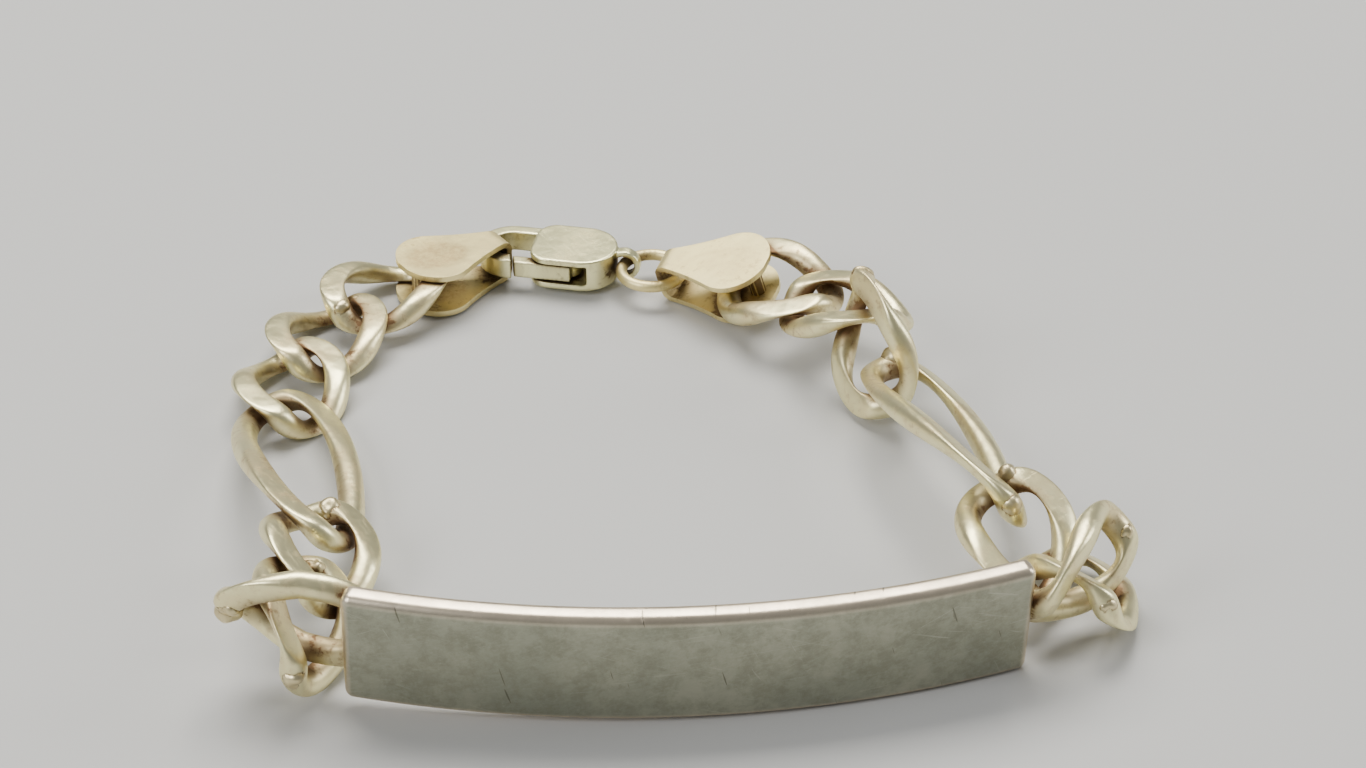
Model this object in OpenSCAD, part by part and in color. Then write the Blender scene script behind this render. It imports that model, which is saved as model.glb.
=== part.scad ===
// Silver identity bracelet lying closed on a table: a bowed plain name plate
// on its long edge, a three-and-one curb chain, riveted end caps, a jump ring
// and a trigger clasp. X runs along the plate, Y away from it towards the
// clasp, Z up. The origin is under the middle of the whole bracelet.

/* [Name plate] */
// Length of the plate along its bow
plate_length = 45.5; // [40:0.5:52]
// Height of the plate as it stands on its long edge
plate_height = 8.9; // [8:0.1:11]
// Thickness of the plate
plate_thick = 1.7; // [1.3:0.1:2.2]
// Radius of the bow, measured to the front face
plate_bow = 78; // [65:1:140]
// Chamfer round the plate's long edges
plate_chamfer = 0.25; // [0.1:0.05:0.4]
// Radius of the plate's four corners
plate_corner = 0.7; // [0.4:0.1:1.5]

/* [Chain links] */
// Wire the links are bent from
wire = 1.9; // [1.7:0.05:2.1]
// Outer length of a short link
short_length = 11.2; // [10.6:0.1:12.4]
// Outer width of a short link
short_width = 8.7; // [8.3:0.1:9.6]
// Outer length of a long link
long_length = 23.5; // [20:0.5:27]
// Outer width of a long link
long_width = 9; // [8.5:0.1:10]
// Outer width of the two links soldered to the plate
end_width = 7.8; // [7.6:0.1:8.6]
// Thickness over the ground flats of a link
ground_thick = 2.4; // [2.1:0.05:2.8]
// Twist of a short link's ends, in degrees
short_twist = 50; // [46:1:54]
// Twist of a long link's ends, in degrees
long_twist = 40; // [36:1:46]

/* [End caps] */
// Length of a cap
cap_length = 9.3; // [8.8:0.1:10]
// Width of a cap's round end
cap_width = 6.6; // [6:0.1:7.6]
// Width of a cap's narrow fold
neck_width = 1.9; // [1.6:0.1:2.2]
// Sheet the caps are folded from
cap_sheet = 0.45; // [0.35:0.05:0.6]
// Diameter of the rivet through the last link
rivet_d = 1.2; // [0.9:0.1:1.5]

/* [Jump ring] */
// Outer diameter of the jump ring
ring_d = 5.6; // [5.2:0.1:7]
// Wire of the jump ring
ring_wire = 0.9; // [0.7:0.05:1]

/* [Clasp] */
// Length of the clasp's body, without its eye
clasp_length = 11; // [10.4:0.1:13]
// Width of the clasp
clasp_width = 5.4; // [5.2:0.1:6.4]
// Thickness of the clasp over its two cheeks
clasp_thick = 2.6; // [2.4:0.1:3.2]
// Thickness of each cheek
cheek = 0.5; // [0.4:0.05:0.6]
// Width of the hook's bar
hook_width = 1.05; // [0.8:0.05:1.2]
// Height of the hook's bar
hook_height = 1.7; // [1.4:0.1:1.8]
// Width of the gate at its tip
gate_width = 1; // [0.8:0.05:1.2]
// Diameter of the lever's pivot pin
pin_d = 0.8; // [0.6:0.05:1]
// Outer diameter of the clasp's eye
eye_d = 2.5; // [2.3:0.1:2.6]
// Diameter of the hole in the eye
eye_hole = 1.6; // [1.5:0.05:1.65]

/* [Hidden] */
silver = [0.86, 0.83, 0.74];
worn_silver = [0.80, 0.76, 0.66];
plate_silver = [0.70, 0.69, 0.62];
$fn = 48;

// Running clearances
rivet_room = 0.3;
cap_room = 0.2;
seat_room = 0.1;
eye_room = 0.35;
hang_room = 0.15;
clasp_lift = 0.25;
fold_room = 0.25;
fold_drop = 0.25;
pin_room = 0.04;
lever_room = 0.1;
tip_room = 0.18;
over = 1;

// How the plate stands: lean, rock and turn, in degrees
plate_stance = [5.5, 1.1, 5.2];
// Share of the plate's height at which the end links are soldered
solder_height = 0.58;
// Soldered end links: distance from the plate's end as a share of their
// length, inward turn of that way, inward turn of the link, climb, roll,
// and the cut away from the loop where it butts on the plate, in degrees
left_end = [0.3, 16, 0, 3, 85, 37];
right_end = [0.47, 22, 28, 0, 88, 0];

// The chain as it lies, from the plate to each cap: kind, way to the link
// from the one before, share of the taut pitch, heading, climb, roll, and
// height of its lowest point as a share of the wire. Angles in degrees.
left_way = [["short", 92, 0.35, 88, 6, 51, 0],
            ["short", 88, 0.95, 90, -2, 30, 0.6],
            ["long", 103, 0.86, 105, -9, 19, 0.15],
            ["short", 100, 0.92, 90, -1, 6, 0],
            ["short", 74, 0.95, 69, -4, 2, 0.1],
            ["short", 55, 0.95, 46, -2, 0, 0.4]];
right_way = [["short", 80, 0.3, 105, -18, 28, 0],
             ["short", 146, 0.65, 96, 20, 15, 0.45],
             ["long", 109, 0.92, 109, -6, 34, 0.85],
             ["short", 116, 0.85, 104, 54, -69, 0.3],
             ["short", 107, 0.8, 138, -11, 2, 1.35],
             ["short", 137, 0.92, 134, -6, -15, 0.65]];

// How far each cap swings about the rivet in its last link's own plane, and
// where the clasp and the ring point, in degrees
left_cap_swing = -11;
right_cap_swing = 24;
clasp_heading = -10;
ring_heading = 153;
// How far each cap has slipped along and across its last link, as shares
// of the wire
left_cap_slip = [-0.05, -0.4];
right_cap_slip = [-0.2, 0];
// Side of the hook that the left cap's fold hangs on, in degrees from the
// clasp's length
hang_side = 213;

// Mesh of a link: rings along it and sides round it
rings = 36;
sides = 10;
// How full the link's oval is, compared with an ellipse
fullness = 0.16;

function unit(v) = v / norm(v);
function turned(h) = [cos(h), sin(h)];
function axes(h, c, r) =
    let (x = [cos(c) * cos(h), cos(c) * sin(h), sin(c)],
         y0 = [-sin(h), cos(h), 0],
         z0 = cross(x, y0))
    [x, y0 * cos(r) + z0 * sin(r), z0 * cos(r) - y0 * sin(r)];
function put(p, m) = p.x * m[0] + p.y * m[1] + p.z * m[2];
function lows(pts) = [min([for (p = pts) p.x]), min([for (p = pts) p.y]), min([for (p = pts) p.z])];
function highs(pts) = [max([for (p = pts) p.x]), max([for (p = pts) p.y]), max([for (p = pts) p.z])];

// A link in its own frame: x along it, z across its ground flats
function curb(s, a, b, twist, seat) =
    let (c = cos(s), q = sin(s),
         f = -twist * c * (c < 0 ? seat : 1),
         y = b * q * (1 + fullness * c * c))
    [a * c * (1 + fullness * q * q), y * cos(f), y * sin(f)];
function section(s, a, b, twist, seat) =
    let (step = 2,
         p = curb(s, a, b, twist, seat),
         t = unit(curb(s + step, a, b, twist, seat) - curb(s - step, a, b, twist, seat)),
         u = unit([t.y, -t.x, 0]),
         w = cross(t, u),
         flat = ground_thick / 2)
    [for (k = [0 : sides - 1])
        let (g = 360 * k / sides, q = p + wire / 2 * (cos(g) * u + sin(g) * w))
        [q.x, q.y, max(-flat, min(flat, q.z))]];
// The loop starts and ends at its near tip, less the cut there
function link_mesh(len, wid, twist, cut = 0, seat = 1) =
    let (span = 360 - 2 * cut,
         n = cut > 0 ? rings : rings - 1)
    [for (i = [0 : n])
        each section(180 + cut + span * i / rings,
                     (len - wire) / 2, (wid - wire) / 2, twist, seat)];
function is_long(row) = row[0] == "long";
function len_of(row) = is_long(row) ? long_length : short_length;
function mesh_of(row) = is_long(row)
    ? link_mesh(long_length, long_width, long_twist)
    : link_mesh(short_length, short_width, short_twist);
function reach_of(row) = (len_of(row) - wire) / 2;

// Where the plate's ends and the soldered links are
plate_half = plate_length / plate_bow * 90 / PI;
mid_bow = plate_bow - plate_thick / 2;
function plate_axes() =
    let (l = plate_stance[0], r = plate_stance[1], h = plate_stance[2])
    [[cos(r) * cos(h), cos(r) * sin(h), -sin(r)],
     [-cos(l) * sin(h) + sin(l) * sin(r) * cos(h), cos(l) * cos(h) + sin(l) * sin(r) * sin(h), sin(l) * cos(r)],
     [sin(l) * sin(h) + cos(l) * sin(r) * cos(h), -sin(l) * cos(h) + cos(l) * sin(r) * sin(h), cos(l) * cos(r)]];
function end_place(side, e) =
    let (way = side * (plate_half + e[1]) + (side > 0 ? 0 : 180),
         end = [side * mid_bow * sin(plate_half), plate_bow - mid_bow * cos(plate_half)],
         at = end + e[0] * short_length * turned(way))
    [at.x, at.y, solder_height * plate_height];
function end_heading(side, e) = side * (plate_half + e[2]) + (side > 0 ? 0 : 180);
function end_mesh(side, e) =
    let (m = axes(end_heading(side, e), e[3], e[4]),
         at = end_place(side, e),
         seat = e[5] > 0 ? 0.3 : 1)
    [for (p = link_mesh(short_length, end_width, short_twist, e[5], seat)) put(p, m) + at];
function plate_world(pts) = let (m = plate_axes()) [for (p = pts) put(p, m)];
left_start = put(end_place(-1, left_end), plate_axes());
right_start = put(end_place(1, right_end), plate_axes());
plate_rim = [for (s = [-1, -0.5, 0, 0.5, 1], v = [0, plate_height], r = [plate_bow - plate_thick, plate_bow])
    [r * sin(s * plate_half), plate_bow - r * cos(s * plate_half), v]];
plate_points = plate_world(concat(plate_rim, end_mesh(-1, left_end), end_mesh(1, right_end)));
plate_low = lows(plate_points);

// The links' places in plan, each from the one before; turn swings the
// whole half about its soldered link
function steps(way, turn) = [for (i = [0 : len(way) - 1])
    let (before = i == 0 ? short_length : len_of(way[i - 1]),
         pitch = (before - wire) / 2 + reach_of(way[i]) - wire)
    way[i][2] * pitch * turned(way[i][1] + turn)];
function sum_to(v, n) = n < 0 ? [0, 0] : v[n] + sum_to(v, n - 1);
function link_axes(row, turn) = axes(row[3] + turn, row[4], row[5]);
function link_height(row) =
    let (m = link_axes(row, 0), pts = [for (p = mesh_of(row)) put(p, m)])
    row[6] * wire - lows(pts).z;
function link_place(start, way, i, turn) =
    let (xy = [start.x, start.y] + sum_to(steps(way, turn), i))
    [xy.x, xy.y, link_height(way[i])];
function link_points(start, way, i, turn) =
    let (m = link_axes(way[i], turn), at = link_place(start, way, i, turn))
    [for (p = mesh_of(way[i])) put(p, m) + at];

// A cap in its own frame: x from the rivet to the fold, z across its sheets
rivet_out = reach_of(["short"]) - wire / 2 - rivet_d / 2 - rivet_room;
cap_gap = ground_thick + cap_room;
cap_half = cap_gap / 2 + cap_sheet;
round_out = 1.3;
round_deep = 0.85 * cap_width / 2;
fold_end = round_out + cap_length - round_deep;
fold_inner = fold_end - cap_sheet;
fold_round = 0.5;
fold_start = fold_end - fold_round - cap_sheet;
shoulder = 0.2;

function cap_place(start, way, slip, turn) =
    let (i = len(way) - 1, m = link_axes(way[i], turn))
    link_place(start, way, i, turn)
    + (rivet_out + slip[0] * wire) * m[0] + slip[1] * wire * m[1];
function cap_axes(way, swing, turn) =
    let (m = link_axes(way[len(way) - 1], turn))
    [cos(swing) * m[0] + sin(swing) * m[1], cos(swing) * m[1] - sin(swing) * m[0], m[2]];

// Rounding of the cheeks by the hook, the eye's width, the slots for the
// lever, and the lever's hub, inset, thumb arm and knob
cheek_nose = 1.6;
eye_wide = 0.9;
eye_out = 0.6;
slot_back = 1.8;
thumb_slot = 2.7;
hub = 1.1;
lever_inset = 0.15;
lever_step = 0.5;
thumb_wide = 1;
knob_d = 1.2;

// Clasp in its own frame: x from the hook's arc to the eye, y to the far
// side, z up, origin at the middle of the hook's arc
hook_outer = clasp_width / 2 - 0.05;
hook_inner = hook_outer - hook_width;
body_start = 1.7;
body_end = clasp_length - hook_outer;
eye_x = body_end + eye_out;
pivot = [body_start + 2.9, -0.9];
tip_x = 0.5;
gate_drop = (hook_outer + hook_inner) / 2;
tip_reach = norm([pivot.x - tip_x, gate_drop + pivot.y]);
lever_thick = clasp_thick - 2 * cheek - 2 * lever_room;

// Ring and seats in plan
ring_mean = ring_d - ring_wire;
ring_sag = ring_mean / 2 - sqrt(pow(ring_mean / 2, 2) - pow(neck_width / 2, 2));
fold_seat = fold_inner - ring_wire / 2 - ring_sag - fold_room;
eye_seat = eye_x + eye_hole / 2 - ring_wire / 2 - eye_room;
hang_chord = sqrt(pow(hook_inner - seat_room, 2) - pow(neck_width / 2 + hang_room, 2));

function flat_part(v) = [v.x, v.y];
// Left half: from its soldered link to the clasp's eye
function clasp_place(turn) =
    let (c = cap_place(left_start, left_way, left_cap_slip, turn),
         f = c + fold_inner * cap_axes(left_way, left_cap_swing, turn)[0],
         xy = flat_part(f) - hang_chord * turned(clasp_heading + turn + hang_side))
    [xy.x, xy.y, c.z - cap_half + clasp_thick / 2 + clasp_lift];
function eye_point(turn) = flat_part(clasp_place(turn)) + eye_seat * turned(clasp_heading + turn);
// Right half: from its soldered link to the far side of the jump ring
ring_left_z = clasp_place(0).z + (eye_hole - ring_wire) / 2 - eye_room;
function fold_point(turn) =
    cap_place(right_start, right_way, right_cap_slip, turn)
    + fold_seat * cap_axes(right_way, right_cap_swing, turn)[0];
ring_right_z = fold_point(0).z - fold_drop;
ring_climb = asin((ring_left_z - ring_right_z) / ring_mean);
function ring_point(turn) =
    flat_part(fold_point(turn)) + ring_mean * cos(ring_climb) * turned(ring_heading + turn);

// Each half swings so that the ring lies in the eye
function way_of(v) = atan2(v.y, v.x);
left_arm = eye_point(0) - flat_part(left_start);
right_arm = ring_point(0) - flat_part(right_start);
base = flat_part(right_start - left_start);
left_inner = acos((pow(norm(left_arm), 2) + pow(norm(base), 2) - pow(norm(right_arm), 2))
                  / (2 * norm(left_arm) * norm(base)));
right_inner = acos((pow(norm(right_arm), 2) + pow(norm(base), 2) - pow(norm(left_arm), 2))
                   / (2 * norm(right_arm) * norm(base)));
left_turn = way_of(base) + left_inner - way_of(left_arm);
right_turn = way_of(base) + 180 - right_inner - way_of(right_arm);

// The origin: under the middle of everything
function cap_points(start, way, slip, swing, turn) =
    let (m = cap_axes(way, swing, turn), at = cap_place(start, way, slip, turn))
    [for (z = [-cap_half, cap_half])
        each [for (g = [0 : 15 : 345])
                  put([round_out + round_deep * cos(g), cap_width / 2 * sin(g), z], m) + at,
              for (s = [-1, 1])
                  put([fold_end - fold_round, s * neck_width / 2, z], m) + at]];
clasp_at = clasp_place(left_turn);
clasp_points = [for (x = [0, body_end - clasp_width / 2], s = [-1, 1])
    [clasp_at.x, clasp_at.y, clasp_at.z - clasp_thick / 2]
    + concat(x * turned(clasp_heading + left_turn)
             + s * hook_outer * turned(clasp_heading + left_turn + 90), [0])];
chain_points = concat(
    [for (p = plate_points) p - [0, 0, plate_low.z]],
    [for (i = [0 : len(left_way) - 1]) each link_points(left_start, left_way, i, left_turn)],
    [for (i = [0 : len(right_way) - 1]) each link_points(right_start, right_way, i, right_turn)],
    cap_points(left_start, left_way, left_cap_slip, left_cap_swing, left_turn),
    cap_points(right_start, right_way, right_cap_slip, right_cap_swing, right_turn),
    clasp_points);
box_low = lows(chain_points);
box_high = highs(chain_points);
home = [-(box_low.x + box_high.x) / 2, -(box_low.y + box_high.y) / 2, -box_low.z];

// A tube mesh from its sections, closed on itself or with end faces
module tube(pts, closed) {
    n = len(pts) / sides;
    last = closed ? n - 1 : n - 2;
    walls = [for (i = [0 : last], k = [0 : sides - 1])
        let (j = (i + 1) % n, l = (k + 1) % sides,
             a = i * sides + k, b = i * sides + l,
             c = j * sides + l, d = j * sides + k)
        each [[a, c, b], [a, d, c]]];
    ends = closed ? [] : [[for (k = [0 : sides - 1]) k],
                          [for (k = [sides - 1 : -1 : 0]) (n - 1) * sides + k]];
    polyhedron(points = pts, faces = concat(walls, ends), convexity = 6);
}

module place(at, m) {
    multmatrix([[m[0].x, m[1].x, m[2].x, at.x],
                [m[0].y, m[1].y, m[2].y, at.y],
                [m[0].z, m[1].z, m[2].z, at.z],
                [0, 0, 0, 1]]) children();
}

module chain_link(start, way, i, turn) {
    color(silver)
    translate(home)
    tube(link_points(start, way, i, turn), true);
}

module plate_blank() {
    half = plate_thick / 2;
    c = plate_chamfer;
    high = plate_height;
    translate([0, plate_bow, 0])
    rotate([0, 0, -90 - plate_half])
    rotate_extrude(angle = 2 * plate_half, $fn = 360)
    translate([mid_bow, 0])
    polygon([[-half + c, 0], [half - c, 0], [half, c], [half, high - c],
             [half - c, high], [-half + c, high], [-half, high - c], [-half, c]]);
}

// Outline of the plate from the front, to round its corners
module plate_front() {
    half = mid_bow * sin(plate_half);
    deep = plate_length;
    translate([0, deep / 2, 0])
    rotate([90, 0, 0])
    linear_extrude(height = 2 * deep)
    union() {
        translate([-half + plate_corner, 0])
        square([2 * (half - plate_corner), plate_height]);
        translate([-half, plate_corner])
        square([2 * half, plate_height - 2 * plate_corner]);
        for (x = [-1, 1], z = [plate_corner, plate_height - plate_corner])
            translate([x * (half - plate_corner), z])
            circle(r = plate_corner);
    }
}

module id_plate() {
    color(plate_silver)
    translate(home - [0, 0, plate_low.z])
    place([0, 0, 0], plate_axes()) {
        intersection() {
            plate_blank();
            plate_front();
        }
        tube(end_mesh(-1, left_end), false);
        tube(end_mesh(1, right_end), true);
    }
}

module left_link_1() { chain_link(left_start, left_way, 0, left_turn); }
module left_link_2() { chain_link(left_start, left_way, 1, left_turn); }
module left_link_3() { chain_link(left_start, left_way, 2, left_turn); }
module left_link_4() { chain_link(left_start, left_way, 3, left_turn); }
module left_link_5() { chain_link(left_start, left_way, 4, left_turn); }
module left_link_6() { chain_link(left_start, left_way, 5, left_turn); }
module right_link_1() { chain_link(right_start, right_way, 0, right_turn); }
module right_link_2() { chain_link(right_start, right_way, 1, right_turn); }
module right_link_3() { chain_link(right_start, right_way, 2, right_turn); }
module right_link_4() { chain_link(right_start, right_way, 3, right_turn); }
module right_link_5() { chain_link(right_start, right_way, 4, right_turn); }
module right_link_6() { chain_link(right_start, right_way, 5, right_turn); }

// Teardrop outline of a cap's sheet: a rounded end whose flanks draw in to
// the fold along a cubic that leaves it on its own slope
module teardrop() {
    half = cap_width / 2;
    spread = 25;
    steps = 12;
    x0 = round_out + round_deep * sin(spread);
    y0 = half * cos(spread);
    run = fold_start - x0;
    y1 = neck_width / 2 + shoulder;
    slope0 = -half / round_deep * tan(spread);
    slope1 = -0.3;
    bow = [for (g = [180 : -(90 + spread) / (2 * steps) : 91 - spread])
        [round_out + round_deep * cos(g), half * sin(g)]];
    flank = [for (i = [0 : steps])
        let (t = i / steps, u = 1 - t)
        [x0 + run * t,
         y0 * u * u * (1 + 2 * t) + run * slope0 * t * u * u
         + y1 * t * t * (3 - 2 * t) - run * slope1 * t * t * u]];
    edge = concat(bow, flank);
    polygon(concat(edge, [for (i = [len(edge) - 1 : -1 : 1]) [edge[i].x, -edge[i].y]]));
}

module fold_profile(inset) {
    r = fold_round + cap_sheet - inset;
    high = cap_half - inset;
    out = fold_end - inset;
    from = fold_start - over - (inset > 0 ? over : 0);
    translate([from, -high])
    square([out - r - from, 2 * high]);
    translate([from, -high + r])
    square([out - from, 2 * (high - r)]);
    for (s = [-1, 1])
        translate([out - r, s * (high - r)])
        circle(r = r);
}

module cap() {
    for (z = [-cap_half, cap_gap / 2])
        translate([0, 0, z])
        linear_extrude(height = cap_sheet)
        teardrop();
    rotate([90, 0, 0])
    linear_extrude(height = neck_width, center = true)
    difference() {
        fold_profile(0);
        fold_profile(cap_sheet);
    }
    cylinder(h = 2 * cap_half, d = rivet_d, center = true);
}

module left_cap() {
    color(worn_silver)
    place(home + cap_place(left_start, left_way, left_cap_slip, left_turn),
          cap_axes(left_way, left_cap_swing, left_turn))
    cap();
}

module right_cap() {
    color(worn_silver)
    place(home + cap_place(right_start, right_way, right_cap_slip, right_turn),
          cap_axes(right_way, right_cap_swing, right_turn))
    cap();
}

module jump_ring() {
    from = fold_point(right_turn);
    heading = ring_heading + right_turn;
    m = axes(heading, ring_climb, 0);
    at = [from.x, from.y, ring_right_z] + ring_mean / 2 * m[0];
    color(silver)
    place(home + at, m)
    rotate_extrude()
    translate([ring_mean / 2, 0])
    circle(d = ring_wire, $fn = 24);
}

// Oval of the clasp's cheeks in plan
module cheek_outline() {
    r = clasp_width / 2;
    nose = cheek_nose;
    translate([body_end - r, 0])
    circle(r = r);
    translate([body_start + nose, -r])
    square([body_end - r - body_start - nose, 2 * r]);
    translate([body_start, -r + nose])
    square([nose, 2 * (r - nose)]);
    for (s = [-1, 1])
        translate([body_start + nose, s * (r - nose)])
        circle(r = nose);
}

// Ring of the hook's arc, and its bar back to the body
module hook_outline() {
    difference() {
        union() {
            circle(r = hook_outer);
            translate([0, -hook_outer])
            square([body_start + over, 2 * hook_outer]);
        }
        circle(r = hook_inner);
        translate([0, -hook_outer - over])
        square([body_start + 2 * over, hook_outer + over + hook_inner]);
        translate(pivot)
        circle(r = tip_reach + tip_room, $fn = 96);
    }
    translate([0, hook_inner])
    square([body_start + over, hook_width]);
    difference() {
        intersection() {
            circle(r = hook_outer);
            translate([-hook_outer, -hook_outer])
            square([2 * hook_outer, hook_outer]);
        }
        circle(r = hook_inner);
        translate(pivot)
        circle(r = tip_reach + tip_room, $fn = 96);
    }
}

module clasp_frame() {
    place(clasp_at + home, axes(clasp_heading + left_turn, 0, 0))
    children();
}

module clasp_body() {
    slot = clasp_thick - 2 * cheek;
    back = pivot.x + slot_back;
    color(silver)
    clasp_frame() {
        linear_extrude(height = hook_height, center = true)
        hook_outline();
        difference() {
            linear_extrude(height = clasp_thick, center = true)
            cheek_outline();
            translate([body_start - over, -clasp_width, -slot / 2])
            cube([back - body_start + over, clasp_width + hook_inner, slot]);
            translate([pivot.x - thumb_slot / 3, 0, -slot / 2])
            cube([thumb_slot, clasp_width, slot]);
        }
        translate([pivot.x, pivot.y, 0])
        cylinder(h = slot + cheek, d = pin_d, center = true);
        difference() {
            translate([eye_x, 0, 0])
            rotate([90, 0, 0])
            cylinder(h = eye_wide, d = eye_d, center = true);
            translate([eye_x, 0, 0])
            rotate([90, 0, 0])
            cylinder(h = 2 * eye_wide, d = eye_hole, center = true);
        }
    }
}

module lever_outline() {
    near = clasp_width / 2 - lever_inset;
    intersection() {
        union() {
            translate([tip_x - over, -near])
            square([pivot.x + lever_step - tip_x + over, gate_width]);
            translate([pivot.x - 2 * hub, -near])
            square([2 * hub + lever_step, near + pivot.y]);
        }
        translate(pivot)
        circle(r = tip_reach, $fn = 96);
    }
    translate(pivot)
    circle(r = hub);
    translate([pivot.x - thumb_wide / 2, pivot.y])
    square([thumb_wide, clasp_width / 2 - pivot.y]);
    translate([pivot.x, clasp_width / 2])
    circle(d = knob_d);
}

module clasp_lever() {
    color(worn_silver)
    clasp_frame()
    difference() {
        linear_extrude(height = lever_thick, center = true)
        lever_outline();
        translate([pivot.x, pivot.y, 0])
        cylinder(h = clasp_thick, d = pin_d + 2 * pin_room, center = true);
    }
}

id_plate();
left_link_1();
left_link_2();
left_link_3();
left_link_4();
left_link_5();
left_link_6();
right_link_1();
right_link_2();
right_link_3();
right_link_4();
right_link_5();
right_link_6();
left_cap();
right_cap();
jump_ring();
clasp_body();
clasp_lever();
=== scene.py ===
# %% [markdown]
# # A silver identity bracelet
# The bracelet lies closed on a table: a bowed blank plate on its long edge, two
# halves of a three-and-one curb chain, two folded caps, a jump ring and a
# trigger clasp. The solids come from the CAD frame, which says where every
# piece is, and this script gives each of them its worn silver surface.

# %% Load the frame
import bpy
import bmesh
import math
import numpy as np
from mathutils import Vector, Matrix
from mathutils.bvhtree import BVHTree


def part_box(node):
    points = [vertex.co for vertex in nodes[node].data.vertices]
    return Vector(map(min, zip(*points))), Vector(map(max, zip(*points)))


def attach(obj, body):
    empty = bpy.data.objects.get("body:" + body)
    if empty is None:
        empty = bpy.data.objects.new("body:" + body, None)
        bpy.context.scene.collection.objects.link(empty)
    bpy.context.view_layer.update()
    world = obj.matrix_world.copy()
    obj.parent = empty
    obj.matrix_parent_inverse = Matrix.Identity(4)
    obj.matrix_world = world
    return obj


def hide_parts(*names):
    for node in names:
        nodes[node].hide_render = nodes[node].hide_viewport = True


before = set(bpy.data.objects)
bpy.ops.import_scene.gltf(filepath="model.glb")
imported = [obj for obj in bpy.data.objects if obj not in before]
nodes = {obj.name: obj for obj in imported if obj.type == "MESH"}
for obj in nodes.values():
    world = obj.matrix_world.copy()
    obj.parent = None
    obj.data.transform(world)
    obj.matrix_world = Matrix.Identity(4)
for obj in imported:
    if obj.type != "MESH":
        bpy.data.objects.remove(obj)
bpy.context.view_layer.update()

MM = 0.001


# %% [markdown]
# ## Camera
# The photograph was taken close by, from in front of the plate and 34 degrees
# above the table. A camera is a lens and a place. A long lens from further
# away would flatten the loop, so the distance matters as much as the angle.

# %% Camera
CAMERA_PLACE = Vector((1.325, -187.137, 133.53)) * MM
CAMERA_DOWN = 34.0
SENSOR = 36.0
PHOTO_WIDE, FOCAL_PIXELS = 1366, 3200

camera_data = bpy.data.cameras.new("photo_camera")
camera_data.sensor_width = SENSOR
camera_data.lens = FOCAL_PIXELS / PHOTO_WIDE * SENSOR
camera_data.clip_start = 0.005
camera = bpy.data.objects.new("photo_camera", camera_data)
bpy.context.scene.collection.objects.link(camera)
camera.location = CAMERA_PLACE
camera.rotation_euler = (math.radians(90 - CAMERA_DOWN), 0, 0)
bpy.context.scene.camera = camera


# %% [markdown]
# ## Shader maths
# A material is a small graph of nodes. Written out node by node it is long and
# hard to read, so one class wraps an output socket and lets ordinary Python
# signs add the Math nodes. Anything else comes from one method, node().

# %% Shader maths
class Wire:
    """An output socket of a material, on which arithmetic adds Math nodes."""

    def __init__(self, finish, socket):
        self.finish, self.socket = finish, socket

    def math(self, operation, *others):
        """One Math node on this wire."""
        return self.finish.node("ShaderNodeMath", {"operation": operation}, (self, *others))

    def __add__(self, other):
        return self.math("ADD", other)

    def __mul__(self, other):
        return self.math("MULTIPLY", other)

    def __sub__(self, other):
        return self.math("SUBTRACT", other)

    def __rsub__(self, other):
        return self.finish.node("ShaderNodeMath", {"operation": "SUBTRACT"}, (other, self))

    __radd__, __rmul__ = __add__, __mul__

    def clamp(self):
        """Held between 0 and 1."""
        return self.finish.node("ShaderNodeClamp", {}, (self, 0.0, 1.0))

    def between(self, low, high):
        """0 at low, 1 at high, and smooth between them."""
        return self.finish.node("ShaderNodeMapRange", {"interpolation_type": "SMOOTHSTEP"},
                                {"Value": self, "From Min": low, "From Max": high})


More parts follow.
